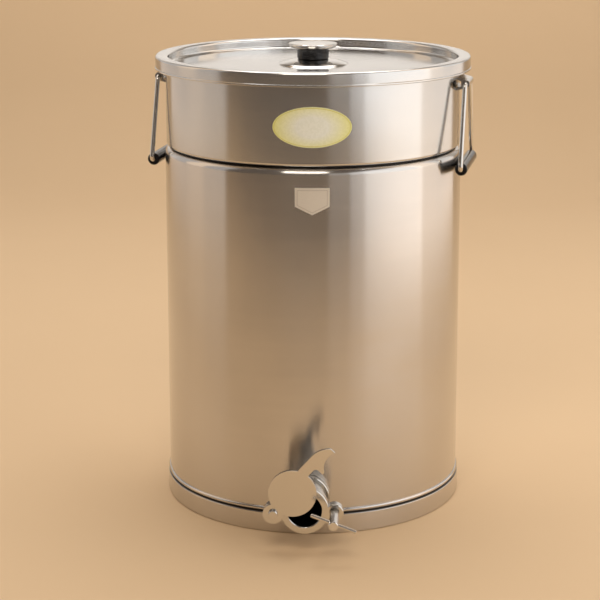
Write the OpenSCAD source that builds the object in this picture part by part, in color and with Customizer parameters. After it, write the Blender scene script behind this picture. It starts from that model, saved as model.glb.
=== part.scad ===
// Honey settling tank with recessed lid, two wire bails and a swing-blade honey gate.
// Millimetres. The origin is the centre of the base on the floor, the gate points to -Y.

/* [Tank body] */
// Outer radius of the tank body
body_r = 159; // [150:0.5:175]
// Height of the body, from the base seam to the top of its shoulder
body_h = 363.5; // [300:0.5:420]
// Sheet thickness of body, floor, collar and lid
sheet = 1.2; // [0.8:0.1:1.6]
// Outer radius of the rounded shoulder
shoulder_r = 7; // [5:0.5:9]
// Width of the flat lip inside the shoulder
lip_w = 2; // [1:0.25:4]
// How far the foot bead stands proud of the body
bead_out = 1.8; // [1:0.1:2]
// Section radius of the foot bead
bead_round = 2.2; // [2:0.1:3]
// Height of the open seam under the foot bead
groove_h = 1.8; // [1:0.1:3]
// Width of the inward foot flange that carries the floor
flange_w = 9; // [6:0.5:14]
// Rise of the floor at its centre
floor_crown = 4; // [2:0.5:10]

/* [Base ring] */
// Height of the base ring
base_h = 21; // [16:0.5:30]
// How far the base ring stands proud of the body
base_out = 2; // [1:0.25:4]
// Wall of the base ring
base_wall = 1.5; // [1:0.1:2.5]
// Width of the rolled foot of the base ring
foot_w = 5; // [3:0.5:8]
// Thickness of the rolled foot
foot_t = 2.5; // [1.5:0.25:4]
// Edge radius at the base seam
seam_round = 0.8; // [0.5:0.1:2]

/* [Upper collar] */
// How far the collar is set back from the body
collar_set = 1.5; // [1:0.25:3]
// Height of the collar, from the lip of the body to the top of its rim
collar_h = 95.6; // [80:0.1:120]
// Height of the open crevice under the collar
crevice_gap = 1.6; // [1:0.1:2.5]
// Width of the collar's seat on the lip of the body
seat_w = 1.4; // [0.8:0.1:2]
// Edge radius at the foot of the collar
collar_round = 3; // [2:0.25:5]
// Length of the spigot inside the neck of the body
spigot_len = 12; // [8:0.5:20]
// Radius of the rolled rim
rim_r = 4.3; // [3:0.1:5]

/* [Lid] */
// Height of the lid skirt
skirt_h = 14.2; // [11:0.1:18]
// Height of the rolled hem at the foot of the skirt
hem_h = 2.4; // [2:0.1:4]
// How far the hem stands proud of the skirt
hem_out = 0.6; // [0.3:0.1:0.8]
// Depth of the recess below the lid rim
recess_d = 11; // [8:0.25:14]
// Outer edge radius of the lid
lid_round = 2.5; // [2:0.1:3]
// Inner edge radius of the lid rim, and of the foot of the recess
recess_round = 3; // [2:0.25:4]
// Radius of the raised centre
boss_r = 37.5; // [32:0.5:45]
// Height of the raised centre
boss_h = 5.5; // [4:0.25:7]
// Height of the small step at the edge of the raised centre
boss_step = 1.2; // [0.8:0.1:2]

/* [Knob] */
// Radius of the knob spacer
spacer_r = 17; // [14:0.5:22]
// Height of the knob spacer
spacer_h = 11; // [9:0.5:16]
// Edge radius at the foot of the spacer
spacer_round = 2; // [1:0.25:4]
// Radius of the knob cap
cap_r = 26; // [22:0.5:32]
// Height of the knob cap at its edge
cap_h = 5.8; // [5:0.1:8]
// Rise of the knob cap's crown above its edge
cap_crown = 0.8; // [0.4:0.1:1.5]
// Thickness of the knob cap's edge
cap_edge = 1.4; // [1:0.1:2]
// Radius of the knob stud
stud_r = 4; // [3:0.25:5]
// Height of the knob nut
knob_nut_h = 6.5; // [5:0.25:8]
// Thickness of the knob washer
knob_washer_t = 1.5; // [1:0.1:2.5]

/* [Bails] */
// Turn of the line through both bails, from the X axis
bail_turn = -9; // [-15:0.5:15]
// Drop of the bail axis below the collar rim
ear_drop = 25; // [22:0.5:30]
// Length of an ear sleeve
ear_len = 36; // [30:1:44]
// Outer radius of an ear sleeve
ear_r = 4.5; // [4:0.1:5.5]
// Height of the ear strap where it meets the collar
strap_h = 16; // [13:0.5:20]
// Thickness of the ear strap
strap_t = 1.5; // [1:0.1:2]
// Radius of the bail wire
wire_r = 2.5; // [2:0.1:3]
// Radius of the wire's bends, at its centre line
bend_r = 4; // [3.5:0.1:5]
// Length of wire inside each end of an ear sleeve
wire_in = 14; // [10:0.5:14]
// Distance from the bail axis down to the grip
bail_drop = 86; // [70:1:100]
// Outer radius of a grip
grip_r = 6.5; // [5:0.25:9]
// Length of a grip
grip_len = 90; // [80:1:110]

/* [Gate] */
// Gap from the base seam up to the socket flange, or from the floor up to the socket
gate_gap = 0.5; // [0.3:0.1:10]
// Distance from the tank wall to the mouth face
gate_reach = 56; // [50:0.5:70]
// Inner radius of the gate
mouth_r = 17.3; // [15:0.1:19]
// Width of the mouth ring
ring_w = 7.3; // [6:0.1:9]
// Depth of the mouth ring
ring_d = 12; // [11:0.5:16]
// Chamfer on the edges of the gate
gate_edge = 0.7; // [0.3:0.1:0.9]
// Wall of the gate tube
tube_wall = 4; // [3.5:0.1:5]
// Wall of the threaded tail of the gate
tail_wall = 2; // [1.5:0.1:2.2]
// Wall of the outlet socket
socket_wall = 2.35; // [2:0.05:3]
// Width of the socket's outer flange
socket_flange_w = 2.5; // [1.5:0.1:3.5]
// Distance from the tank wall to the front of the socket
socket_out = 13; // [9:0.5:16]
// Length of the socket inside the tank wall
socket_in = 6; // [5:0.25:8]
// Thickness of the gasket
gasket_t = 2; // [1:0.25:3]
// Thickness of the lock ring
lock_t = 6; // [4:0.5:8]
// Width of the lock ring
lock_w = 5; // [4:0.25:7]
// Width of a spanner notch in the lock ring
lock_notch = 8; // [5:0.5:10]

/* [Blade] */
// Sideways distance from the mouth ring's edge to the pivot
pivot_out = 7; // [6:0.1:8]
// Drop of the pivot below the gate axis
pivot_drop = 2.5; // [1:0.25:4]
// Radius of the pivot lug
lug_r = 10.4; // [9:0.1:11.5]
// Depth of both lugs
lug_d = 10; // [8:0.5:11]
// Radius of the pivot bolt
pivot_r = 2.5; // [2:0.1:3]
// Radius of the pivot bolt's head
pivot_head_r = 4.8; // [4:0.1:5.5]
// Height of the pivot bolt's head
pivot_head_h = 3.5; // [2:0.25:5]
// How much larger the blade disc is than the mouth, all round
blade_lap = 7; // [6.5:0.1:8]
// How much the blade's arm is shorter than the way from the pivot to the gate axis
arm_short = 2.4; // [1.5:0.1:3]
// Thickness of the blade
blade_t = 3; // [2:0.25:4]
// Angle of the blade above the horizontal, as shown
blade_angle = 48.2; // [30:0.2:60]
// Turn from the pose shown to the closing stop
blade_close = 45; // [40:0.5:46]
// Radius of the horn's back
horn_r = 24; // [22:0.25:26]
// Distance from the notch to the centre of the horn's back
horn_out = 10.2; // [9:0.1:12]
// Drop of the centre of the horn's back below the blade's centre line
horn_drop = 12.2; // [11:0.1:13]
// Distance from the notch to the blunt end of the horn
horn_reach = 28.6; // [27:0.1:31]
// Radius of the scoop under the horn
scoop_r = 17.5; // [16:0.25:18]
// Distance from the notch to the centre of the scoop
scoop_out = 20.7; // [20:0.1:22]
// Drop of the scoop's centre below the blade's centre line
scoop_drop = 18.5; // [18:0.25:20]
// Drop of the hook beside the notch
hook_drop = 9; // [8:0.25:9.5]

/* [Clamp] */
// Sideways distance from the mouth ring's edge to the clamp axis
clamp_out = 5.4; // [4:0.1:6]
// Drop of the clamp axis below the gate axis
clamp_drop = 2; // [1:0.25:4]
// Radius of the clamp lug
clamp_lug_r = 9.4; // [8:0.1:11]
// Radius of the clamp screw's shank
shank_r = 3; // [2.5:0.1:3.5]
// Length of the shank behind the lug
shank_tail = 4; // [1:0.5:8]
// Radius of the clamp screw's long head
screw_head_r = 5; // [4.6:0.1:6]
// Length of the clamp screw's long head
screw_head_h = 33; // [26:0.5:40]
// Distance from the front of the clamp screw back to its cross bar
bar_back = 8; // [5:0.25:12]
// Radius of the cross bar
bar_r = 1.9; // [1.5:0.1:2.2]
// Length of the cross bar
bar_len = 48; // [40:0.5:56]
// Slope of the cross bar, as shown
bar_tilt = -21; // [-45:1:45]

/* [Plates] */
// Turn of both plates from the gate
plate_turn = 2; // [-10:0.5:10]
// Width of the oval plate
oval_w = 79; // [60:0.5:90]
// Height of the oval plate
oval_h = 41; // [30:0.5:46]
// Height of the oval plate's centre above the crevice
oval_rise = 41.5; // [38:0.5:46]
// Width of the shield plate
mark_w = 35; // [24:0.5:40]
// Height of the shield plate
mark_h = 27.5; // [20:0.5:34]
// Height of the shield plate's point
mark_point = 8.5; // [4:0.5:12]
// Drop of the shield plate's centre below the crevice
mark_drop = 33; // [28:0.5:60]
// Thickness of both plates
plate_t = 0.5; // [0.3:0.1:1]

/* [Clearances] */
// Radial clearance of fixed fits
fit_clear = 0.15; // [0.1:0.05:0.25]
// Radial clearance of pins and shafts that turn
run_clear = 0.08; // [0.04:0.01:0.1]
// Gap between faces that slide past each other
slide_clear = 0.3; // [0.2:0.05:0.5]
// Gap between the clamp shank and the notch round it
notch_clear = 0.5; // [0.4:0.05:0.8]
// Gap between a plate and the wall behind it
plate_clear = 0.05; // [0.03:0.01:0.1]
// Gap between the lid and the collar rim
lid_seat = 0.2; // [0.1:0.05:0.4]
// Gap between the lid recess and the inside of the collar
plug_clear = 0.6; // [0.4:0.1:1]
// Gap between the collar rim and the lid skirt
skirt_clear = 2.1; // [1:0.1:4]
// Gap between a hanging grip and the tank wall
grip_gap = 0.5; // [0.4:0.05:2]

/* [Hidden] */
$fn = 96;

steel = "silver";
polished = "gainsboro";
black = "#1c1c1c";

// Straight pieces of a quarter arc, and points round the oval
arc_steps = 8;
oval_steps = 48;
// Length by which a cut runs past the solid that it cuts
past = 5;

// Body, floor and collar
seam_z = base_h;
base_r = body_r + base_out;
flange_in = body_r - sheet - flange_w;
crevice_z = seam_z + body_h;
lip_in = body_r - shoulder_r - lip_w;
bead_r = body_r + bead_out;
collar_r = body_r - collar_set;
collar_in = collar_r - sheet;
spigot_out = lip_in - fit_clear;
spigot_in = spigot_out - sheet;
rim_c = collar_in + rim_r;
rim_z = crevice_z + collar_h;

// Lid and knob
lid_z = rim_z + lid_seat + sheet;
skirt_in = rim_c + rim_r + skirt_clear;
lid_r = skirt_in + sheet;
recess_r = collar_in - plug_clear - sheet;
pan_z = lid_z - recess_d;
boss_z = pan_z + boss_h;
boss_seat = spacer_r - spacer_round;
cap_z = boss_z + spacer_h;
cap_hole = 3;
cap_round = 0.6;
stud_top = cap_z + cap_hole - fit_clear;
nut_z = boss_z - sheet - knob_washer_t - knob_nut_h;
stud_tail = 2;
washer_ratio = 2.5;
nut_ratio = 1.9;
knob_washer_r = washer_ratio * stud_r;
knob_nut_r = nut_ratio * stud_r;

// Bails
ear_z = rim_z - ear_drop;
bail_r = body_r + grip_gap + grip_r;
ear_reach = bail_r - collar_r;
web_cut = 0.5;
web_h = ear_r - strap_t - web_cut;
corner_bends = 1.6;
wire_top = ear_len / 2 + bend_r;
wire_low = grip_len / 2 + corner_bends * bend_r;
leg_angle = atan2(-bail_drop, wire_low - wire_top);
top_turn = -leg_angle;
low_turn = 180 + leg_angle;
top_cut = bend_r * tan(top_turn / 2);
low_cut = bend_r * tan(low_turn / 2);
grip_edge = 1;
wire_lap = 0.2;
bend_swell = 0.03;

// Gate, seen from the front with its axis at zero and the mouth face at height zero
ring_r = mouth_r + ring_w;
tube_r = mouth_r + tube_wall;
tail_r = mouth_r + tail_wall;
socket_bore = tail_r + fit_clear;
socket_r = socket_bore + socket_wall;
flange_r = socket_r + socket_flange_w;
lock_r = tail_r + lock_w;
gasket_r = (socket_r + flange_r) / 2;
gate_z = seam_z + max(flange_r, socket_r + 2 * sheet) + gate_gap;
socket_face = -gate_reach + socket_out;
gasket_face = socket_face + gasket_t;
lock_face = gasket_face + lock_t;
tail_end = -gate_reach - socket_in;

pivot = [-ring_r - pivot_out, -pivot_drop];
clamp = [ring_r + clamp_out, -clamp_drop];
arm = norm(pivot) - arm_short;
blade_r = mouth_r + blade_lap;
blade_front = blade_t + slide_clear / 2;
head_z = blade_front + slide_clear / 2;
clamp_z = blade_front + slide_clear;
screw_front = clamp_z + screw_head_h;
bar_z = screw_front - bar_back;
notch_r = shank_r + notch_clear;
notch_angle = atan2(clamp[1] - pivot[1], clamp[0] - pivot[0]) - blade_angle + blade_close;
notch = norm(clamp - pivot) * [cos(notch_angle), sin(notch_angle)];
horn_c = [notch[0] + horn_out, -horn_drop];
horn_end = notch[0] + horn_reach;
scoop_c = [notch[0] + scoop_out, -scoop_drop];

// Points along an arc of a profile
function arc(c, r, from, to) =
    let (n = max(2, ceil(abs(to - from) / 90 * arc_steps)))
    [for (i = [0 : n]) let (a = from + (to - from) * i / n) c + r * [cos(a), sin(a)]];

// Solid of revolution about the tank axis from one profile
module lathe(points) {
    rotate_extrude() polygon(points);
}

// Places children in the gate's own view: x to the right, y up, z out of the mouth
module at_gate() {
    translate([0, -body_r - gate_reach, gate_z]) rotate([90, 0, 0]) children();
}

// Disc or boss with chamfered edges along the gate axis
module gate_disc(r, from, to) {
    rotate_extrude() polygon([[0, from], [r - gate_edge, from], [r, from + gate_edge],
                              [r, to - gate_edge], [r - gate_edge, to], [0, to]]);
}

// Tube along the gate axis
module gate_tube(outer, inner, from, to) {
    translate([0, 0, from]) difference() {
        cylinder(r = outer, h = to - from);
        translate([0, 0, -past]) cylinder(r = inner, h = to - from + 2 * past);
    }
}

// Places children at a bail's axis: x away from the tank, y along the axis
module at_bail(side) {
    rotate([0, 0, bail_turn + side]) translate([bail_r, 0, ear_z]) children();
}

// Turns a drawing in x and y so that it stands along a bail's axis
module along_bail() {
    rotate([90, 0, 90]) children();
}

module tank_body() {
    bead_top = acos(1 - bead_out / bead_round);
    bead_z = seam_z + groove_h + bead_round * sin(bead_top);
    bead = arc([bead_r - bead_round, bead_z], bead_round, -bead_top, bead_top);
    turn = [body_r - shoulder_r, crevice_z - shoulder_r];
    outside = concat([[flange_in, seam_z], [body_r, seam_z]], bead, arc(turn, shoulder_r, 0, 90));
    lip = [[lip_in, crevice_z], [lip_in, crevice_z - sheet]];
    inside = concat(arc(turn, shoulder_r - sheet, 90, 0),
                    [[body_r - sheet, seam_z + sheet], [flange_in, seam_z + sheet]]);
    color(steel) difference() {
        lathe(concat(outside, lip, inside));
        at_gate() translate([0, 0, -gate_reach - body_r / 2])
            cylinder(r = socket_r + fit_clear, h = body_r / 2 + gate_reach);
        difference() {
            at_gate() translate([0, 0, -gate_reach - body_r / 2])
                cylinder(r = flange_r + fit_clear, h = body_r / 2 + gate_reach);
            translate([0, 0, -past]) cylinder(r = body_r, h = body_h);
        }
    }
}

module tank_floor() {
    edge = body_r - sheet - fit_clear;
    low = seam_z + sheet;
    color(steel) lathe([[0, low + floor_crown], [flange_in, low], [edge, low], [edge, low + sheet],
                        [flange_in, low + sheet], [0, low + sheet + floor_crown]]);
}

module base_ring() {
    chamfer = 1;
    top = arc([base_r - seam_round, seam_z - seam_round], seam_round, 0, 90);
    color(steel) lathe(concat(
        [[base_r - foot_w, 0], [base_r - chamfer, 0], [base_r, chamfer]], top,
        [[flange_in, seam_z], [flange_in, seam_z - base_wall],
         [base_r - base_wall, seam_z - base_wall], [base_r - base_wall, foot_t],
         [base_r - foot_w, foot_t]]));
}

module upper_collar() {
    rim = [rim_c, rim_z - rim_r];
    rim_start = acos((collar_r - rim_c) / rim_r);
    foot_z = crevice_z + crevice_gap;
    seat_r = spigot_out + seat_w;
    foot = arc([collar_r - collar_round, foot_z + collar_round], collar_round, -90, 0);
    color(polished) lathe(concat(
        [[spigot_out, crevice_z - spigot_len], [spigot_out, crevice_z], [seat_r, crevice_z],
         [seat_r, foot_z]], foot, arc(rim, rim_r, -rim_start, 180),
        [[collar_in, foot_z + sheet], [spigot_in, foot_z + sheet],
         [spigot_in, crevice_z - spigot_len]]));
}

module outlet_socket() {
    color(steel) difference() {
        union() {
            at_gate() translate([0, 0, tail_end])
                cylinder(r = socket_r, h = socket_face - tail_end);
            difference() {
                at_gate() translate([0, 0, -gate_reach - body_r / 2])
                    cylinder(r = flange_r, h = socket_face + gate_reach + body_r / 2);
                cylinder(r = body_r + fit_clear, h = body_h);
            }
        }
        at_gate() translate([0, 0, tail_end - past])
            cylinder(r = socket_bore, h = socket_face - tail_end + 2 * past);
    }
}

module gate_gasket() {
    color(black) at_gate() gate_tube(gasket_r, socket_bore, socket_face, gasket_face);
}

module gate_lock_ring() {
    color(steel) at_gate() difference() {
        gate_disc(lock_r, gasket_face, lock_face);
        translate([0, 0, gasket_face - past]) cylinder(r = socket_bore, h = lock_t + 2 * past);
        for (a = [0 : 90 : 270])
            rotate(a) translate([lock_r, 0, (gasket_face + lock_face) / 2])
                cube([lock_w / 2, lock_notch, lock_t + past], center = true);
    }
}

module gate_body() {
    color(polished) at_gate() difference() {
        union() {
            gate_disc(ring_r, -ring_d, 0);
            translate([0, 0, lock_face]) cylinder(r = tube_r, h = -lock_face - ring_d);
            translate([0, 0, tail_end]) cylinder(r = tail_r, h = lock_face - tail_end);
            translate([pivot[0], pivot[1], 0]) gate_disc(lug_r, -lug_d, 0);
            translate([clamp[0], clamp[1], 0]) gate_disc(clamp_lug_r, -lug_d, 0);
        }
        translate([0, 0, tail_end - past]) cylinder(r = mouth_r, h = -tail_end + 2 * past);
        translate([0, 0, -gate_edge]) cylinder(r1 = mouth_r, r2 = mouth_r + 2 * gate_edge, h = 2 * gate_edge);
        translate([pivot[0], pivot[1], -lug_d - past])
            cylinder(r = pivot_r + run_clear, h = lug_d + 2 * past);
        translate([clamp[0], clamp[1], -lug_d - past])
            cylinder(r = shank_r + run_clear, h = lug_d + 2 * past);
    }
}

// Outline of the blade, with its pivot at zero and its disc along x
module blade_outline() {
    horn_top = horn_r - horn_drop;
    difference() {
        union() {
            circle(r = lug_r);
            translate([arm, 0]) circle(r = blade_r);
            difference() {
                union() {
                    translate([arm, -hook_drop]) square([horn_c[0] - arm, horn_top + hook_drop]);
                    translate(horn_c) circle(r = horn_r);
                }
                translate(scoop_c) circle(r = scoop_r);
                translate(notch) circle(r = notch_r);
                translate([arm, -horn_end]) square([notch[0] - arm, notch[1] + notch_r + horn_end]);
                translate([notch[0] - notch_r, -horn_end])
                    square([2 * notch_r, notch[1] + horn_end]);
                translate([arm, -horn_end]) square([horn_end, horn_end - hook_drop]);
                translate([horn_end, -horn_end]) square(2 * horn_end);
            }
        }
        circle(r = pivot_r + run_clear);
    }
}

module gate_blade() {
    color(polished) at_gate() translate([pivot[0], pivot[1], slide_clear / 2])
        rotate(blade_angle) linear_extrude(blade_t) blade_outline();
}

module pivot_bolt() {
    color(steel) at_gate() translate([pivot[0], pivot[1], 0]) union() {
        translate([0, 0, -lug_d]) cylinder(r = pivot_r, h = lug_d + head_z);
        gate_disc(pivot_head_r, head_z, head_z + pivot_head_h);
    }
}

module clamp_screw() {
    chamfer = 0.8;
    back = -lug_d - shank_tail;
    color(polished) at_gate() translate([clamp[0], clamp[1], 0]) difference() {
        rotate_extrude() polygon([
            [0, back], [shank_r - chamfer, back], [shank_r, back + chamfer], [shank_r, clamp_z],
            [screw_head_r, clamp_z], [screw_head_r, screw_front - chamfer],
            [screw_head_r - chamfer, screw_front], [0, screw_front]]);
        translate([0, 0, bar_z]) rotate([0, 90, bar_tilt])
            cylinder(r = bar_r + run_clear, h = 4 * screw_head_r, center = true);
    }
}

module clamp_bar() {
    tip = 0.5;
    half = bar_len / 2;
    color(steel) at_gate() translate([clamp[0], clamp[1], bar_z]) rotate([0, 90, bar_tilt])
        rotate_extrude() polygon([[0, -half], [bar_r - tip, -half], [bar_r, tip - half],
                                  [bar_r, half - tip], [bar_r - tip, half], [0, half]]);
}

// Profile of the lid's raised centre from its flat seat down to the step at its edge
function dome(drop) =
    [for (i = [0 : arc_steps]) let (t = i / arc_steps)
     [boss_seat + (boss_r - boss_step - boss_seat) * t,
      boss_z - drop - (boss_h - boss_step) * t * t]];

module lid_pan() {
    hole = stud_r + fit_clear;
    well = [recess_r - recess_round, pan_z + recess_round];
    brim = [recess_r + recess_round, lid_z - recess_round];
    edge = [lid_r - lid_round, lid_z - lid_round];
    top = concat([[hole, boss_z]], dome(0), [[boss_r, pan_z]],
                 arc(well, recess_round, -90, 0), arc(brim, recess_round, 180, 90),
                 arc(edge, lid_round, 90, 0));
    skirt_z = lid_z - skirt_h;
    skirt = [[lid_r, skirt_z + hem_h], [lid_r + hem_out, skirt_z + hem_h - hem_out],
             [lid_r + hem_out, skirt_z + hem_out], [lid_r, skirt_z], [skirt_in, skirt_z]];
    inner = dome(sheet);
    under = concat(arc(edge, lid_round - sheet, 0, 90), arc(brim, recess_round - sheet, 90, 180),
                   arc(well, recess_round + sheet, 0, -90), [[boss_r + sheet / 2, pan_z - sheet]],
                   [for (i = [arc_steps : -1 : 0]) inner[i]], [[hole, boss_z - sheet]]);
    color(polished) lathe(concat(top, skirt, under));
}

module knob_spacer() {
    hole = stud_r + fit_clear;
    foot = arc([spacer_r - spacer_round, boss_z + spacer_round], spacer_round, -90, 0);
    color(black) lathe(concat([[hole, boss_z]], foot, [[spacer_r, cap_z], [hole, cap_z]]));
}

module knob_cap() {
    hole = stud_r + fit_clear;
    edge_top = cap_z + cap_h;
    edge_low = edge_top - cap_edge;
    bowl_r = cap_r - spacer_r;
    bowl_h = edge_low - cap_z;
    bowl = [for (i = [0 : arc_steps]) let (a = 90 * i / arc_steps)
            [spacer_r + bowl_r * sin(a), cap_z + bowl_h * (1 - cos(a))]];
    crown = [for (i = [0 : arc_steps]) let (t = 1 - i / arc_steps)
             [(cap_r - cap_round) * t, edge_top + cap_crown * (1 - t * t)]];
    color(polished) lathe(concat([[0, cap_z + cap_hole], [hole, cap_z + cap_hole], [hole, cap_z]],
                                 bowl, [[cap_r, edge_top - cap_round]], crown));
}

module knob_stud() {
    low = nut_z - stud_tail;
    color(steel) translate([0, 0, low]) cylinder(r = stud_r, h = stud_top - low);
}

module knob_washer() {
    low = boss_z - sheet - knob_washer_t;
    hole = stud_r + fit_clear;
    color(steel) lathe([[hole, low], [knob_washer_r, low], [knob_washer_r, low + knob_washer_t],
                        [hole, low + knob_washer_t]]);
}

module knob_nut() {
    color(steel) translate([0, 0, nut_z]) difference() {
        cylinder(r = knob_nut_r, h = knob_nut_h, $fn = 6);
        translate([0, 0, -past]) cylinder(r = stud_r + run_clear, h = knob_nut_h + 2 * past);
    }
}

// Sleeve for one bail, held to the collar by the two legs of its strap
module ear(side) {
    color(steel) difference() {
        at_bail(side) rotate([90, 0, 0]) linear_extrude(ear_len, center = true) difference() {
            union() {
                circle(r = ear_r);
                polygon([[0, ear_r], [-ear_reach - past, strap_h / 2],
                         [-ear_reach - past, -strap_h / 2], [0, -ear_r]]);
            }
            circle(r = wire_r + run_clear);
            polygon([[-ear_r, web_h], [-ear_reach - past, strap_h / 2 - strap_t],
                     [-ear_reach - past, strap_t - strap_h / 2], [-ear_r, -web_h]]);
        }
        translate([0, 0, crevice_z]) cylinder(r = collar_r + fit_clear, h = collar_h);
    }
}

// Straight run of wire between two points of the bail's plane, lapped into the bends at its ends
module wire_run(a, b) {
    translate(a) rotate([0, 90, atan2(b[1] - a[1], b[0] - a[0])]) translate([0, 0, -wire_lap])
        cylinder(r = wire_r, h = norm(b - a) + 2 * wire_lap);
}

// Bend of the wire about a centre, from one angle through a turn, a little swollen by bending
module wire_bend(c, from, turn) {
    translate(c) rotate(from) rotate_extrude(angle = turn) translate([bend_r, 0])
        circle(r = wire_r + bend_swell);
}

// Wire bail: two ends in the sleeve, two splayed legs and the run through the grip
module bail(side) {
    leg = [cos(leg_angle), sin(leg_angle)];
    top_start = [wire_top - top_cut, 0];
    top_end = [wire_top, 0] + top_cut * leg;
    low_start = [wire_low, -bail_drop] - low_cut * leg;
    low_end = [wire_low - low_cut, -bail_drop];
    color(polished) at_bail(side) along_bail() union() {
        for (m = [0, 1]) mirror([m, 0, 0]) {
            wire_run([ear_len / 2 - wire_in, 0], top_start);
            wire_bend(top_start - [0, bend_r], 90 - top_turn, top_turn);
            wire_run(top_end, low_start);
            wire_bend(low_end + [0, bend_r], -90, low_turn);
        }
        wire_run(low_end - [2 * low_end[0], 0], low_end);
    }
}

// Tube grip on the low run of a bail
module grip(side) {
    half = grip_len / 2;
    hole = wire_r + run_clear;
    color(black) at_bail(side) translate([0, 0, -bail_drop]) rotate([90, 0, 0])
        rotate_extrude() polygon([[hole, -half], [grip_r - grip_edge, -half],
                                  [grip_r, grip_edge - half], [grip_r, half - grip_edge],
                                  [grip_r - grip_edge, half], [hole, half]]);
}

module left_ear() { ear(180); }
module right_ear() { ear(0); }
module left_bail() { bail(180); }
module right_bail() { bail(0); }
module left_grip() { grip(180); }
module right_grip() { grip(0); }

// Thin plate bent round a wall of the given radius, cut to the child outline
module bent_plate(wall_r, z) {
    inner = wall_r + plate_clear;
    intersection() {
        translate([0, 0, z]) rotate([0, 0, plate_turn]) rotate([90, 0, 0])
            linear_extrude(2 * wall_r) children();
        translate([0, 0, seam_z]) difference() {
            cylinder(r = inner + plate_t, h = rim_z);
            translate([0, 0, -past]) cylinder(r = inner, h = rim_z + 2 * past);
        }
    }
}

module oval_plate() {
    color("khaki") bent_plate(collar_r, crevice_z + oval_rise)
        polygon([for (i = [1 : oval_steps])
                 [oval_w / 2 * cos(i * 360 / oval_steps), oval_h / 2 * sin(i * 360 / oval_steps)]]);
}

module mark_plate() {
    w = mark_w / 2;
    h = mark_h / 2;
    color("lightgrey") bent_plate(body_r, crevice_z - mark_drop)
        polygon([[-w, h], [-w, mark_point - h], [0, -h], [w, mark_point - h], [w, h]]);
}

tank_body();
tank_floor();
base_ring();
upper_collar();
outlet_socket();
gate_gasket();
gate_lock_ring();
gate_body();
gate_blade();
pivot_bolt();
clamp_screw();
clamp_bar();
lid_pan();
knob_spacer();
knob_cap();
knob_stud();
knob_washer();
knob_nut();
left_ear();
right_ear();
left_bail();
right_bail();
left_grip();
right_grip();
oval_plate();
mark_plate();
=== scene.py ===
"""Looks of a honey settling tank: steel, plastic and label materials, small trim, soft studio light."""
import math

import bmesh
import bpy
from mathutils import Matrix


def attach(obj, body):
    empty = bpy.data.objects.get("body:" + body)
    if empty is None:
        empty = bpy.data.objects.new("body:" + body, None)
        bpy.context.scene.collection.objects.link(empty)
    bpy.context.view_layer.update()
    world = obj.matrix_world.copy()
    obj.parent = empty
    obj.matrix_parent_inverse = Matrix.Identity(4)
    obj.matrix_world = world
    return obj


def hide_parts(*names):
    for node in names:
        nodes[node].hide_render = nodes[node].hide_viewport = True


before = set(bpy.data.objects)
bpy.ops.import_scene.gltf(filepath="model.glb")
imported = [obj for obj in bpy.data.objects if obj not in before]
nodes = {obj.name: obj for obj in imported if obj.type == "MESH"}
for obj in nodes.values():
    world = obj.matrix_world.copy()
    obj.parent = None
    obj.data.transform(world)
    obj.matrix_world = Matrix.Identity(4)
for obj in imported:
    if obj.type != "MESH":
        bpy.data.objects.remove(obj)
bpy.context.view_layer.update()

MM = 0.001
QUARTER = math.pi / 2
FULL_TURN = 2 * math.pi

# Sizes of the solids that are turned again here, in millimetres, beginning with sheet and fixed fits
SHEET = 1.2
FIT_CLEAR = 0.15

# Body and floor
BODY_R = 159.0
BODY_H = 363.5
SHOULDER_R = 7.0
LIP_W = 2.0
BEAD_OUT = 1.8
BEAD_ROUND = 2.2
GROOVE_H = 1.8
FLANGE_W = 9.0
FLOOR_CROWN = 4.0

# Base ring
BASE_H = 21.0
BASE_OUT = 2.0
BASE_WALL = 1.5
BASE_CHAMFER = 1.0
FOOT_W = 5.0
FOOT_T = 2.5
SEAM_ROUND = 0.8

# Upper collar
COLLAR_SET = 1.5
COLLAR_H = 95.6
COLLAR_ROUND = 3.0
CREVICE_GAP = 1.6
SEAT_W = 1.4
SPIGOT_LEN = 12.0
RIM_R = 4.3

# Lid
LID_SEAT = 0.2
LID_ROUND = 2.5
SKIRT_H = 14.2
SKIRT_CLEAR = 2.1
HEM_H = 2.4
HEM_OUT = 0.6
RECESS_D = 11.0
RECESS_ROUND = 3.0
PLUG_CLEAR = 0.6
BOSS_R = 37.5
BOSS_H = 5.5
BOSS_STEP = 1.2

# Knob
SPACER_R = 17.0
SPACER_H = 11.0
SPACER_ROUND = 2.0
CAP_R = 26.0
CAP_H = 5.8
CAP_CROWN = 0.8
CAP_EDGE = 1.4
CAP_ROUND = 0.6
CAP_HOLE = 3.0
STUD_R = 4.0

# Outlet in the body's wall
OUTLET_Z = 45.8
SOCKET_R = 21.8
SOCKET_FLANGE_R = 24.3

# Plates on the front
PLATE_TURN = math.radians(2)
PLATE_CLEAR = 0.05
PLATE_T = 0.5
OVAL_W = 79.0
OVAL_H = 41.0
OVAL_RISE = 41.5
MARK_W = 35.0
MARK_H = 27.5
MARK_POINT = 8.5
MARK_DROP = 33.0

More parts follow.
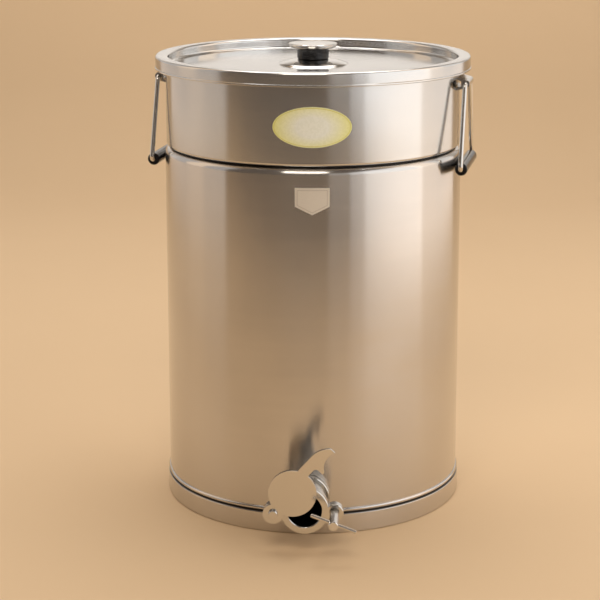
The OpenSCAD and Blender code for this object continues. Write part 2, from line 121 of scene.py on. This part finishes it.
# Sizes that follow from those above
SEAM_Z = BASE_H
BASE_R = BODY_R + BASE_OUT
BODY_IN = BODY_R - SHEET
FLANGE_IN = BODY_IN - FLANGE_W
FLANGE_TOP = SEAM_Z + SHEET
CREVICE_Z = SEAM_Z + BODY_H
LIP_IN = BODY_R - SHOULDER_R - LIP_W
COLLAR_R = BODY_R - COLLAR_SET
COLLAR_IN = COLLAR_R - SHEET
COLLAR_Z = CREVICE_Z + CREVICE_GAP
RIM_C = COLLAR_IN + RIM_R
RIM_Z = CREVICE_Z + COLLAR_H
LID_Z = RIM_Z + LID_SEAT + SHEET
SKIRT_IN = RIM_C + RIM_R + SKIRT_CLEAR
LID_R = SKIRT_IN + SHEET
RECESS_R = COLLAR_IN - PLUG_CLEAR - SHEET
PAN_Z = LID_Z - RECESS_D
BOSS_Z = PAN_Z + BOSS_H
CAP_Z = BOSS_Z + SPACER_H
STUD_HOLE = STUD_R + FIT_CLEAR
OVAL_Z = CREVICE_Z + OVAL_RISE
MARK_Z = CREVICE_Z - MARK_DROP


# Usual range of a noise texture, and fineness of the softened edges
NOISE_RANGE = (0.3, 0.7)
EDGE_SAMPLES = 6


class Graph:
    """The node tree of a material or a world, with short calls for the nodes used here."""

    def __init__(self, owner, coords="Object"):
        owner.use_nodes = True
        self.owner = owner
        self.tree = owner.node_tree
        self.coords = self.node("ShaderNodeTexCoord").outputs[coords]

    def node(self, kind, **settings):
        made = self.tree.nodes.new(kind)
        for key, value in settings.items():
            setattr(made, key, value)
        return made

    def link(self, source, target):
        self.tree.links.new(source, target)

    def feed(self, socket, value):
        """Links another socket, or sets a constant."""
        if isinstance(value, bpy.types.NodeSocket):
            self.link(value, socket)
        else:
            socket.default_value = value

    def math(self, operation, a, b=0.0):
        made = self.node("ShaderNodeMath", operation=operation)
        self.feed(made.inputs[0], a)
        self.feed(made.inputs[1], b)
        return made.outputs[0]

    def axes(self):
        """The three coordinates, by their letters."""
        made = self.node("ShaderNodeSeparateXYZ")
        self.link(self.coords, made.inputs[0])
        return made.outputs

    def distance(self, a, b):
        """How far a point is from zero, from two of its coordinates."""
        squares = self.math("ADD", self.math("MULTIPLY", a, a), self.math("MULTIPLY", b, b))
        return self.math("SQRT", squares)

    def noise(self, scale, detail, stretch=(1, 1, 1)):
        mapping = self.node("ShaderNodeMapping")
        mapping.inputs["Scale"].default_value = stretch
        self.link(self.coords, mapping.inputs["Vector"])
        made = self.node("ShaderNodeTexNoise")
        made.inputs["Scale"].default_value = scale
        made.inputs["Detail"].default_value = detail
        self.link(mapping.outputs[0], made.inputs["Vector"])
        return made.outputs[0]

    def span(self, value, low, high, to_low, to_high):
        made = self.node("ShaderNodeMapRange")
        self.feed(made.inputs["Value"], value)
        made.inputs["From Min"].default_value = low
        made.inputs["From Max"].default_value = high
        made.inputs["To Min"].default_value = to_low
        made.inputs["To Max"].default_value = to_high
        return made.outputs[0]

    def spread(self, noise, middle, swing):
        """The usual range of a noise, spread evenly about a middle value."""
        return self.span(noise, *NOISE_RANGE, middle - swing, middle + swing)

    def mix(self, factor, a, b):
        """A mix of two colours, by the numbers of the node's colour sockets."""
        made = self.node("ShaderNodeMix", data_type="RGBA")
        self.feed(made.inputs[0], factor)
        self.feed(made.inputs[6], a)
        self.feed(made.inputs[7], b)
        return made.outputs[2]

    def put(self, **values):
        """Sets inputs of the material's shader, with underscores for the blanks in their names."""
        shader = self.tree.nodes["Principled BSDF"]
        for key, value in values.items():
            self.feed(shader.inputs[key.replace("_", " ")], value)

    def bump(self, height, depth, edge=0.0):
        """A fine skin of some depth, and edges softened by a radius, both in metres."""
        made = self.node("ShaderNodeBump")
        made.inputs["Distance"].default_value = depth
        self.link(height, made.inputs["Height"])
        if edge:
            rounded = self.node("ShaderNodeBevel", samples=EDGE_SAMPLES)
            rounded.inputs["Radius"].default_value = edge
            self.link(rounded.outputs[0], made.inputs["Normal"])
        self.put(Normal=made.outputs[0])


def rgb(r, g, b):
    """An opaque colour."""
    return (r, g, b, 1.0)


# Drift and smudges of all steel
DRIFT_SCALE = 7.0
DRIFT_RANGE = (0.35, 0.65)
SMUDGE_SCALE = 16.0
SMUDGE_SWING = 0.015

# Brush marks round sheet, and the fine skin of other steel
BRUSH_SCALE = 8.0
BRUSH_STRETCH = (1, 1, 20)
BRUSH_SWING = 0.006
BRUSH_ROTATION = 0.25
BAR_SWING = 0.025

# Height and half width of the bands of painted shade in the open seams, in millimetres, and how dark and
# dull they are
SHADED_SEAMS = ((SEAM_Z + GROOVE_H / 2, 1.2), (CREVICE_Z + CREVICE_GAP / 2, 1.1))
CREVICE_CORE = 0.6
CREVICE_ROUGH = 0.25
SEAM_SHADE_TONE = (0.045, 0.038, 0.033)

# Half widths of the weld line down the back, in millimetres, and how it differs from the sheet
WELD_CORE = 1.2
WELD_HALF = 3.2
WELD_ROUGH = 0.16
WELD_MIX = 0.35
WELD_TONE = (0.34, 0.32, 0.30)

# Radii between which a smoother top fades out, in millimetres
TOP_IN = 150.0
TOP_OUT = 164.0

# Skin, worn patches and sheen of plastic
PLASTIC_SCALE = 900.0
PATCH_SCALE = 60.0
PATCH_RANGE = (0.52, 0.75)
SHEEN_SCALE = 120.0
SHEEN_SWING = 0.06

# Grain of the label film, and how far out its edge tone begins
FILM_SCALE = 420.0
FILM_SWING = 0.05
FILM_EDGE = 0.40

# Grain and metal sheen of the foil
FOIL_SCALE = 260.0
FOIL_STRETCH = (1, 1, 12)
FOIL_SWING = 0.05
FOIL_METAL = 0.15


def steel_tone(g, light, dark, rough, fine, swing):
    """Drifting tone and smudged roughness of stainless steel."""
    tone = g.span(g.noise(DRIFT_SCALE, detail=1.0), *DRIFT_RANGE, 0.0, 1.0)
    smudge = g.spread(g.noise(SMUDGE_SCALE, detail=1.0), 0.0, SMUDGE_SWING)
    roughness = g.math("ADD", g.spread(fine, rough, swing), smudge)
    return g.mix(tone, rgb(*dark), rgb(*light)), roughness


def smoother_top(g, roughness, change):
    """Adds a change of roughness that fades out towards the edge of the lid."""
    axes = g.axes()
    far = g.distance(axes["X"], axes["Y"])
    return g.math("ADD", roughness, g.span(far, TOP_IN * MM, TOP_OUT * MM, change, 0.0))


def painted_seam_shade(g, colour, roughness):
    """Painted shade: dark, dull bands in the open seams under the body and under the collar, where the
    gaps fall into shadow.
    """
    height = g.axes()["Z"]
    for level, half in SHADED_SEAMS:
        away = g.math("ABSOLUTE", g.math("SUBTRACT", height, level * MM))
        painted_shade = g.span(away, half * CREVICE_CORE * MM, half * MM, 1.0, 0.0)
        roughness = g.math("ADD", roughness, g.math("MULTIPLY", painted_shade, CREVICE_ROUGH))
        # Paints shade into the seam: the colour darkens towards the middle of the band
        colour = g.mix(painted_shade, colour, rgb(*SEAM_SHADE_TONE))
    return colour, roughness


def weld_line(g, colour, roughness):
    """A plain weld line down the back."""
    axes = g.axes()
    near = g.span(g.math("ABSOLUTE", axes["X"]), WELD_CORE * MM, WELD_HALF * MM, 1.0, 0.0)
    weld = g.math("MULTIPLY", near, g.math("GREATER_THAN", axes["Y"], 0.0))
    roughness = g.math("ADD", roughness, g.math("MULTIPLY", weld, WELD_ROUGH))
    colour = g.mix(g.math("MULTIPLY", weld, WELD_MIX), colour, rgb(*WELD_TONE))
    return colour, roughness


def sheet_steel(name, light, dark, rough, brushed, seams=True, top_rough=None):
    """Satin sheet, brushed round its axis, with painted shade in its open seams and a weld line, or with a
    smoother top.
    """
    g = Graph(bpy.data.materials.new(name))
    brush = g.noise(BRUSH_SCALE, detail=0.0, stretch=BRUSH_STRETCH)
    colour, roughness = steel_tone(g, light, dark, rough, brush, BRUSH_SWING)
    if top_rough:
        roughness = smoother_top(g, roughness, top_rough - rough)
    if seams:
        # Painted shade in the open seams, then the weld line down the back
        colour, roughness = painted_seam_shade(g, colour, roughness)
        colour, roughness = weld_line(g, colour, roughness)
    tangent = g.node("ShaderNodeTangent", direction_type="RADIAL", axis="Z")
    g.put(Base_Color=colour, Metallic=1.0, Roughness=roughness, Anisotropic=brushed,
          Anisotropic_Rotation=BRUSH_ROTATION, Tangent=tangent.outputs[0])
    return g.owner


def bar_steel(name, light, dark, rough, grain, depth, edge):
    """Turned, drawn or cast steel with a fine skin and softened edges, in millimetres."""
    g = Graph(bpy.data.materials.new(name))
    fine = g.noise(grain, detail=2.0)
    colour, roughness = steel_tone(g, light, dark, rough, fine, BAR_SWING)
    g.put(Base_Color=colour, Metallic=1.0, Roughness=roughness)
    g.bump(fine, depth * MM, edge * MM)
    return g.owner


def plastic(name, base, worn, rough, depth):
    """Moulded plastic or rubber with a fine skin, in millimetres, and slightly paler worn patches."""
    g = Graph(bpy.data.materials.new(name))
    skin = g.noise(PLASTIC_SCALE, detail=3.0)
    patch = g.span(g.noise(PATCH_SCALE, detail=5.0), *PATCH_RANGE, 0.0, 1.0)
    sheen = g.spread(g.noise(SHEEN_SCALE, detail=4.0), rough, SHEEN_SWING)
    g.put(Base_Color=g.mix(patch, rgb(*base), rgb(*worn)), Roughness=sheen)
    g.bump(skin, depth * MM)
    return g.owner


def film(name, pale, white, edge, edge_height, rough, depth):
    """Printed film of the bare oval label, shading from its middle to another tone at its edge."""
    g = Graph(bpy.data.materials.new(name))
    axes = g.axes()
    middle = COLLAR_R * math.sin(PLATE_TURN) * MM
    along = g.math("DIVIDE", g.math("SUBTRACT", axes["X"], middle), OVAL_W / 2 * MM)
    up = g.math("DIVIDE", g.math("SUBTRACT", axes["Z"], OVAL_Z * MM), OVAL_H / 2 * edge_height * MM)
    outward = g.span(g.distance(along, up), FILM_EDGE, 1.0, 0.0, 1.0)
    grain = g.noise(FILM_SCALE, detail=4.0)
    inside = g.mix(grain, rgb(*pale), rgb(*white))
    g.put(Base_Color=g.mix(outward, inside, rgb(*edge)),
          Roughness=g.spread(grain, rough, FILM_SWING))
    g.bump(grain, depth * MM)
    return g.owner


def foil(name, light, dark, rough, depth):
    """Satin foil of the shield plate, with a fine grain across it, in millimetres."""
    g = Graph(bpy.data.materials.new(name))
    grain = g.noise(FOIL_SCALE, detail=3.0, stretch=FOIL_STRETCH)
    g.put(Base_Color=g.mix(grain, rgb(*dark), rgb(*light)), Metallic=FOIL_METAL,
          Roughness=g.spread(grain, rough, FOIL_SWING))
    g.bump(grain, depth * MM)
    return g.owner


body_steel = sheet_steel("body_steel", light=(0.66, 0.635, 0.61), dark=(0.61, 0.585, 0.56),
                         rough=0.20, brushed=0.90)
collar_steel = sheet_steel("collar_steel", light=(0.655, 0.65, 0.64), dark=(0.605, 0.60, 0.59),
                           rough=0.205, brushed=0.75)
lid_steel = sheet_steel("lid_steel", light=(0.675, 0.668, 0.655), dark=(0.625, 0.618, 0.605),
                        rough=0.22, brushed=0.7, seams=False, top_rough=0.14)
polished = bar_steel("polished_steel", light=(0.70, 0.68, 0.65), dark=(0.64, 0.62, 0.59),
                     rough=0.15, grain=300.0, depth=0.01, edge=0.5)
cast_steel = bar_steel("cast_steel", light=(0.68, 0.66, 0.62), dark=(0.60, 0.58, 0.55),
                       rough=0.17, grain=420.0, depth=0.02, edge=0.7)
black = plastic("black_plastic", base=(0.006, 0.006, 0.007), worn=(0.016, 0.015, 0.014),
                rough=0.15, depth=0.006)
rubber = plastic("seal_rubber", base=(0.022, 0.022, 0.022), worn=(0.040, 0.039, 0.037),
                 rough=0.55, depth=0.03)
label = film("label_film", pale=(0.95, 0.985, 0.86), white=(0.97, 0.99, 0.90), edge=(0.91, 0.90, 0.34),
             edge_height=1.25, rough=0.27, depth=0.02)
mark = foil("mark_foil", light=(0.84, 0.79, 0.70), dark=(0.74, 0.69, 0.61), rough=0.34, depth=0.02)
mark_rim = foil("mark_rim", light=(0.60, 0.55, 0.48), dark=(0.52, 0.47, 0.41), rough=0.34, depth=0.02)
oval_rim = plastic("border_pale", base=(0.78, 0.74, 0.24), worn=(0.84, 0.80, 0.32),
                   rough=0.35, depth=0.01)

# Material of each solid
FINISH = {
    "tank_body": body_steel,
    "tank_floor": body_steel,
    "base_ring": body_steel,
    "upper_collar": collar_steel,
    "outlet_socket": cast_steel,
    "gate_gasket": rubber,
    "gate_lock_ring": cast_steel,
    "gate_body": cast_steel,
    "gate_blade": polished,
    "pivot_bolt": polished,
    "clamp_screw": polished,
    "clamp_bar": polished,
    "lid_pan": lid_steel,
    "knob_spacer": black,
    "knob_cap": polished,
    "knob_stud": cast_steel,
    "knob_washer": cast_steel,
    "knob_nut": cast_steel,
    "left_ear": polished,
    "right_ear": polished,
    "left_bail": polished,
    "right_bail": polished,
    "left_grip": black,
    "right_grip": black,
    "oval_plate": label,
    "mark_plate": mark,
}
for node_name, material in FINISH.items():
    slots = nodes[node_name].data.materials
    slots.clear()
    slots.append(material)


# Fineness of the turned pieces and of the holes cut into them
SEGMENTS = 256
ARC_STEPS = 14
BEAD_STEPS = 24
RIM_STEPS = 40
HOLE_SIDES = 128
SHARP = math.radians(28)
MERGE = 1e-6

# Height of an extra row of points that ends the drilled part of the wall, and how far the cuts reach
WALL_ROW_Z = 78.0
CUT_FRONT = -175.0
CUT_BACK = -140.0
BEAD_CUT_BACK = -BODY_R - 0.1


def add(name, data):
    """A new object in the scene."""
    made = bpy.data.objects.new(name, data)
    bpy.context.scene.collection.objects.link(made)
    return made


def arc(centre, radius, start, end, steps=ARC_STEPS):
    """Points of a profile along an arc about a centre, angles in degrees."""
    r, z = centre
    turns = [math.radians(start + (end - start) * i / steps) for i in range(steps + 1)]
    return [(r + radius * math.cos(t), z + radius * math.sin(t)) for t in turns]


def parts_of_one():
    """Even steps from zero to one."""
    return [i / ARC_STEPS for i in range(ARC_STEPS + 1)]


def smooth(mesh):
    """Smooth shading, except at edges that are sharp in the solid."""
    mesh.polygons.foreach_set("use_smooth", [True] * len(mesh.polygons))
    mesh.set_sharp_from_angle(angle=SHARP)


def turned(name, node, body, profile):
    """A finely turned piece from a closed profile in millimetres, in place of a solid."""
    rows = len(profile)
    verts = []
    faces = []
    for step in range(SEGMENTS):
        angle = FULL_TURN * step / SEGMENTS
        verts += [(r * MM * math.cos(angle), r * MM * math.sin(angle), z * MM) for r, z in profile]
        here = step * rows
        there = (step + 1) % SEGMENTS * rows
        for i in range(rows):
            j = (i + 1) % rows
            faces.append((here + i, there + i, there + j, here + j))
    mesh = bpy.data.meshes.new(name)
    mesh.from_pydata(verts, [], faces)
    work = bmesh.new()
    work.from_mesh(mesh)
    bmesh.ops.remove_doubles(work, verts=work.verts, dist=MERGE)
    bmesh.ops.recalc_face_normals(work, faces=work.faces)
    work.to_mesh(mesh)
    work.free()
    mesh.materials.append(FINISH[node])
    smooth(mesh)
    piece = add(name, mesh)
    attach(piece, body)
    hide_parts(node)
    return piece


def drill(piece, radius, y_from, y_to, z):
    """Cuts a round hole along Y through a piece, sizes in millimetres."""
    middle = Matrix.Translation((0, (y_from + y_to) / 2 * MM, z * MM))
    along_y = Matrix.Rotation(QUARTER, 4, "X")
    # Half a side of turn keeps the cutter's corners off the upright edges of the wall
    half_side = Matrix.Rotation(math.pi / HOLE_SIDES, 4, "Z")
    work = bmesh.new()
    bmesh.ops.create_cone(work, cap_ends=True, segments=HOLE_SIDES, radius1=radius * MM,
                          radius2=radius * MM, depth=(y_to - y_from) * MM,
                          matrix=middle @ along_y @ half_side)
    mesh = bpy.data.meshes.new("drill")
    work.to_mesh(mesh)
    work.free()
    tool = add("drill", mesh)
    cut = piece.modifiers.new("hole", "BOOLEAN")
    cut.object = tool
    cut.operation = "DIFFERENCE"
    cut.solver = "EXACT"
    shaped = piece.evaluated_get(bpy.context.evaluated_depsgraph_get())
    done = bpy.data.meshes.new_from_object(shaped)
    piece.modifiers.clear()
    piece.data = done
    smooth(done)
    bpy.data.objects.remove(tool)


def body_profile():
    """The body's wall, with its foot flange, foot bead, rounded shoulder and lip."""
    half = math.acos(1 - BEAD_OUT / BEAD_ROUND)
    bead_end = math.degrees(half)
    bead = (BODY_R + BEAD_OUT - BEAD_ROUND, SEAM_Z + GROOVE_H + BEAD_ROUND * math.sin(half))
    turn = (BODY_R - SHOULDER_R, CREVICE_Z - SHOULDER_R)
    return [
        (FLANGE_IN, SEAM_Z),
        (BODY_R, SEAM_Z),
        *arc(bead, BEAD_ROUND, -bead_end, bead_end, BEAD_STEPS),
        (BODY_R, WALL_ROW_Z),
        *arc(turn, SHOULDER_R, 0, 90),
        (LIP_IN, CREVICE_Z),
        (LIP_IN, CREVICE_Z - SHEET),
        *arc(turn, SHOULDER_R - SHEET, 90, 0),
        (BODY_IN, WALL_ROW_Z),
        (BODY_IN, FLANGE_TOP),
        (FLANGE_IN, FLANGE_TOP),
    ]


def floor_profile():
    """The bottom disc, raised at its centre, on the foot flange."""
    edge = BODY_IN - FIT_CLEAR
    return [
        (0, FLANGE_TOP + FLOOR_CROWN),
        (FLANGE_IN, FLANGE_TOP),
        (edge, FLANGE_TOP),
        (edge, FLANGE_TOP + SHEET),
        (FLANGE_IN, FLANGE_TOP + SHEET),
        (0, FLANGE_TOP + SHEET + FLOOR_CROWN),
    ]


def base_profile():
    """The base ring, with its rolled foot and the flange that the body stands on."""
    return [
        (BASE_R - FOOT_W, 0),
        (BASE_R - BASE_CHAMFER, 0),
        (BASE_R, BASE_CHAMFER),
        *arc((BASE_R - SEAM_ROUND, SEAM_Z - SEAM_ROUND), SEAM_ROUND, 0, 90),
        (FLANGE_IN, SEAM_Z),
        (FLANGE_IN, SEAM_Z - BASE_WALL),
        (BASE_R - BASE_WALL, SEAM_Z - BASE_WALL),
        (BASE_R - BASE_WALL, FOOT_T),
        (BASE_R - FOOT_W, FOOT_T),
    ]


def collar_profile():
    """The collar, with its spigot, its seat on the body's lip, its rounded foot and its rolled rim."""
    spigot_out = LIP_IN - FIT_CLEAR
    spigot_in = spigot_out - SHEET
    spigot_low = CREVICE_Z - SPIGOT_LEN
    rim_start = math.degrees(math.acos((COLLAR_R - RIM_C) / RIM_R))
    return [
        (spigot_out, spigot_low),
        (spigot_out, CREVICE_Z),
        (spigot_out + SEAT_W, CREVICE_Z),
        (spigot_out + SEAT_W, COLLAR_Z),
        *arc((COLLAR_R - COLLAR_ROUND, COLLAR_Z + COLLAR_ROUND), COLLAR_ROUND, -90, 0),
        *arc((RIM_C, RIM_Z - RIM_R), RIM_R, -rim_start, 180, RIM_STEPS),
        (COLLAR_IN, COLLAR_Z + SHEET),
        (spigot_in, COLLAR_Z + SHEET),
        (spigot_in, spigot_low),
    ]


def dome(drop):
    """The raised centre of the lid, from the knob's seat to the step at its edge."""
    seat = SPACER_R - SPACER_ROUND
    width = BOSS_R - BOSS_STEP - seat
    fall = BOSS_H - BOSS_STEP
    return [(seat + width * t, BOSS_Z - drop - fall * t ** 2) for t in parts_of_one()]


def lid_profile():
    """The lid, with its raised centre, recess, flat rim and hemmed skirt."""
    well = (RECESS_R - RECESS_ROUND, PAN_Z + RECESS_ROUND)
    brim = (RECESS_R + RECESS_ROUND, LID_Z - RECESS_ROUND)
    edge = (LID_R - LID_ROUND, LID_Z - LID_ROUND)
    skirt_z = LID_Z - SKIRT_H
    hem_r = LID_R + HEM_OUT
    return [
        (STUD_HOLE, BOSS_Z),
        *dome(0),
        (BOSS_R, PAN_Z),
        *arc(well, RECESS_ROUND, -90, 0),
        *arc(brim, RECESS_ROUND, 180, 90),
        *arc(edge, LID_ROUND, 90, 0),
        (LID_R, skirt_z + HEM_H),
        (hem_r, skirt_z + HEM_H - HEM_OUT),
        (hem_r, skirt_z + HEM_OUT),
        (LID_R, skirt_z),
        (SKIRT_IN, skirt_z),
        *arc(edge, LID_ROUND - SHEET, 0, 90),
        *arc(brim, RECESS_ROUND - SHEET, 90, 180),
        *arc(well, RECESS_ROUND + SHEET, 0, -90),
        (BOSS_R + SHEET / 2, PAN_Z - SHEET),
        *reversed(dome(SHEET)),
        (STUD_HOLE, BOSS_Z - SHEET),
    ]


def spacer_profile():
    """The black neck of the knob, with its rounded foot."""
    return [
        (STUD_HOLE, BOSS_Z),
        *arc((SPACER_R - SPACER_ROUND, BOSS_Z + SPACER_ROUND), SPACER_ROUND, -90, 0),
        (SPACER_R, CAP_Z),
        (STUD_HOLE, CAP_Z),
    ]


def cap_profile():
    """The mushroom disc of the knob, with a blind hole for the stud."""
    top = CAP_Z + CAP_H
    bowl_r = CAP_R - SPACER_R
    bowl_h = CAP_H - CAP_EDGE
    crown_r = CAP_R - CAP_ROUND
    turns = [QUARTER * t for t in parts_of_one()]
    bowl = [(SPACER_R + bowl_r * math.sin(a), CAP_Z + bowl_h * (1 - math.cos(a))) for a in turns]
    crown = [(crown_r * t, top + CAP_CROWN * (1 - t * t)) for t in reversed(parts_of_one())]
    return [
        (0, CAP_Z + CAP_HOLE),
        (STUD_HOLE, CAP_Z + CAP_HOLE),
        (STUD_HOLE, CAP_Z),
        *bowl,
        (CAP_R, top - CAP_ROUND),
        *crown,
    ]


body_shell = turned("body_shell", "tank_body", "tank", body_profile())
drill(body_shell, SOCKET_R + FIT_CLEAR, CUT_FRONT, CUT_BACK, OUTLET_Z)
drill(body_shell, SOCKET_FLANGE_R + FIT_CLEAR, CUT_FRONT, BEAD_CUT_BACK, OUTLET_Z)
turned("floor_disc", "tank_floor", "tank", floor_profile())
turned("base_hoop", "base_ring", "tank", base_profile())
turned("collar_shell", "upper_collar", "tank", collar_profile())
turned("lid_shell", "lid_pan", "lid", lid_profile())
turned("knob_neck", "knob_spacer", "lid", spacer_profile())
turned("knob_disc", "knob_cap", "lid", cap_profile())


# Border lines of the plates: their gap to the plate, thickness, and outer and inner insets, in millimetres
LINE_LIFT = 0.02
LINE_T = 0.08
OVAL_INSETS = (0.9, 1.7)
MARK_INSETS = (2.2, 2.7)

# Share of its inset by which the shield's lower corners go down, and points of the outlines
CORNER_SHARE = 0.4
OVAL_POINTS = 120
SIDE_POINTS = 12


def on_wall(wall_r, across, z):
    """A point on a wall, from its sideways distance in the plate's view, in millimetres."""
    y = -math.sqrt(wall_r ** 2 - across ** 2)
    c = math.cos(PLATE_TURN)
    s = math.sin(PLATE_TURN)
    return ((across * c - y * s) * MM, (across * s + y * c) * MM, z * MM)


def border(name, wall_r, outlines, material):
    """A thin raised line on a plate, between an outer and an inner outline with as many points."""
    low_r = wall_r + PLATE_CLEAR + PLATE_T + LINE_LIFT
    count = len(outlines[0])
    verts = []
    for face_r in (low_r, low_r + LINE_T):
        for outline in outlines:
            verts += [on_wall(face_r, across, z) for across, z in outline]
    low_out, low_in, high_out, high_in = (k * count for k in range(4))
    sides = ((low_out, high_out), (high_out, high_in), (high_in, low_in), (low_in, low_out))
    faces = []
    for i in range(count):
        j = (i + 1) % count
        faces += [(a + i, a + j, b + j, b + i) for a, b in sides]
    mesh = bpy.data.meshes.new(name)
    mesh.from_pydata(verts, [], faces)
    mesh.materials.append(material)
    piece = add(name, mesh)
    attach(piece, "tank")


def oval_outline(inset):
    """The oval plate's outline, drawn in by an inset."""
    half_w = OVAL_W / 2 - inset
    half_h = OVAL_H / 2 - inset
    turns = [FULL_TURN * i / OVAL_POINTS for i in range(OVAL_POINTS)]
    return [(half_w * math.cos(t), OVAL_Z + half_h * math.sin(t)) for t in turns]


def shield_outline(inset):
    """The shield plate's outline, drawn in by an inset, with points along its straight sides."""
    half_w = MARK_W / 2 - inset
    half_h = MARK_H / 2 - inset
    corner = MARK_POINT - half_h - inset * CORNER_SHARE
    corners = [(-half_w, half_h), (-half_w, corner), (0, -half_h), (half_w, corner), (half_w, half_h)]
    parts = [i / SIDE_POINTS for i in range(SIDE_POINTS)]
    points = []
    for (ax, az), (bx, bz) in zip(corners, corners[1:] + corners[:1]):
        points += [(ax + (bx - ax) * t, MARK_Z + az + (bz - az) * t) for t in parts]
    return points


border("oval_border", COLLAR_R, [oval_outline(inset) for inset in OVAL_INSETS], oval_rim)
border("mark_border", BODY_R, [shield_outline(inset) for inset in MARK_INSETS], mark_rim)


# Plain floor and backdrop, in metres
FLOOR_SIDE = 7.0
FLOOR_FRONT = -1.3
BACKDROP_Y = 2.8
BACKDROP_H = 5.0
BEND_R = 1.2
BEND_STEPS = 24
PAPER_SCALE = 3.0
PAPER_FADE = (0.36, 0.62)
PAPER_ROUGH = 0.85


def paper(name, light, dark, upper):
    """Studio paper: warm and pale below, plain light grey higher up."""
    g = Graph(bpy.data.materials.new(name))
    height = g.axes()["Z"]
    low = g.mix(g.noise(PAPER_SCALE, detail=3.0), rgb(*dark), rgb(*light))
    high = g.span(height, *PAPER_FADE, 0.0, 1.0)
    g.put(Base_Color=g.mix(high, low, rgb(*upper)), Roughness=PAPER_ROUGH)
    return g.owner


def sweep(name, material):
    """Plain floor that ends in front of the tank and curves up into a backdrop behind it."""
    turns = [QUARTER * i / BEND_STEPS for i in range(BEND_STEPS + 1)]
    bend = [(BACKDROP_Y - BEND_R + BEND_R * math.sin(a), BEND_R - BEND_R * math.cos(a)) for a in turns]
    path = [(FLOOR_FRONT, 0.0), *bend, (BACKDROP_Y, BACKDROP_H)]
    count = len(path)
    verts = [(x, y, z) for x in (-FLOOR_SIDE, FLOOR_SIDE) for y, z in path]
    faces = [(i, count + i, count + i + 1, i + 1) for i in range(count - 1)]
    mesh = bpy.data.meshes.new(name)
    mesh.from_pydata(verts, [], faces)
    mesh.polygons.foreach_set("use_smooth", [True] * len(faces))
    mesh.materials.append(material)
    add(name, mesh)


sweep("studio_floor", paper("studio_paper", light=(0.775, 0.548, 0.325), dark=(0.745, 0.524, 0.307),
                            upper=(0.84, 0.83, 0.81)))


# Soft lamps: how they are turned, their colours, and the place and height of those beside the tank
FACE_LEFT = (QUARTER, 0, QUARTER)
FACE_RIGHT = (QUARTER, 0, -QUARTER)
FACE_BACK = (QUARTER, 0, 0)
WHITE = (1.0, 1.0, 1.0)
WARM = (1.0, 0.97, 0.93)
AMBER = (1.0, 0.91, 0.80)
SIDE_X = 1.45
SIDE_Z = 0.95
SIDE_H = 1.9


def softbox(name, place, aim, width, height, power, colour):
    """A rectangular soft lamp, sizes in metres."""
    data = bpy.data.lights.new(name, "AREA")
    data.shape = "RECTANGLE"
    data.size = width
    data.size_y = height
    data.energy = power
    data.color = colour
    lamp = add(name, data)
    lamp.location = place
    lamp.rotation_euler = aim


# Name, place, turn, width, height, power in watts, colour
softbox("right_softbox", (SIDE_X, -0.85, SIDE_Z), FACE_LEFT, 1.7, SIDE_H, 12.2, WHITE)
softbox("right_rear", (SIDE_X, 0.77, SIDE_Z), FACE_LEFT, 1.54, SIDE_H, 6.8, WHITE)
softbox("right_fill", (SIDE_X, -2.15, SIDE_Z), FACE_LEFT, 0.9, SIDE_H, 4.0, WHITE)
softbox("right_edge", (1.1, -2.9, SIDE_Z), (QUARTER, 0, 0.52), 0.8, SIDE_H, 1.75, WARM)
softbox("left_softbox", (-SIDE_X, 0.45, 1.03), FACE_RIGHT, 2.3, SIDE_H, 5.2, WHITE)
softbox("right_outer", (SIDE_X, 0.1, SIDE_Z), FACE_RIGHT, 3.0, SIDE_H, 19, WHITE)
softbox("left_outer", (-SIDE_X, 0.1, SIDE_Z), FACE_LEFT, 3.0, SIDE_H, 8, WHITE)
softbox("top_softbox", (0.0, 0.7, 2.6), (-0.2, 0, 0), 2.2, 1.8, 38, WHITE)
softbox("back_strip", (0.0, 2.2, 1.35), FACE_BACK, 3.0, 0.7, 8, WHITE)
softbox("front_softbox", (-0.2, -2.3, 2.7), (0.80, 0, 0), 1.6, 1.0, 29, AMBER)


def studio_world(name, room_tone, room_power, plain_tone):
    """A dim room on the camera's side, and a plain tone behind the tank that the steel mirrors too."""
    g = Graph(bpy.data.worlds.new(name), "Generated")
    room = g.tree.nodes["Background"]
    room.inputs["Color"].default_value = rgb(*room_tone)
    room.inputs["Strength"].default_value = room_power
    plain = g.node("ShaderNodeBackground")
    plain.inputs["Color"].default_value = rgb(*plain_tone)
    rays = g.node("ShaderNodeLightPath").outputs
    mirrored = g.math("MAXIMUM", rays["Is Glossy Ray"], rays["Is Transmission Ray"])
    behind = g.math("MULTIPLY", mirrored, g.math("GREATER_THAN", g.axes()["Y"], 0.0))
    choose = g.node("ShaderNodeMixShader")
    g.link(g.math("MAXIMUM", rays["Is Camera Ray"], behind), choose.inputs[0])
    g.link(room.outputs[0], choose.inputs[1])
    g.link(plain.outputs[0], choose.inputs[2])
    g.link(choose.outputs[0], g.tree.nodes["World Output"].inputs["Surface"])
    return g.owner


# Camera fitted to the tank's outline: distance and height in metres, turn round the tank and tilt down
CAMERA_D = 1.9367
CAMERA_H = 0.7032
CAMERA_TURN = math.radians(2.3)
CAMERA_TILT = math.radians(12.40)
CAMERA_SENSOR = 36.0
CAMERA_LENS = 108.89
CAMERA_SHIFT = (-0.0217, -0.1)


def studio_camera(name):
    """The camera on its circle round the tank, turned and tilted towards it."""
    data = bpy.data.cameras.new(name)
    data.sensor_width = CAMERA_SENSOR
    data.lens = CAMERA_LENS
    data.shift_x, data.shift_y = CAMERA_SHIFT
    camera = add(name, data)
    across = CAMERA_D * math.sin(CAMERA_TURN)
    camera.location = (across, -CAMERA_D * math.cos(CAMERA_TURN), CAMERA_H)
    camera.rotation_euler = (QUARTER - CAMERA_TILT, 0, CAMERA_TURN)
    return camera


scene = bpy.context.scene
scene.world = studio_world("studio", room_tone=(0.33, 0.265, 0.215), room_power=0.44,
                           plain_tone=(0.70, 0.483, 0.285))
scene.camera = studio_camera("camera")
scene.view_settings.view_transform = "Standard"
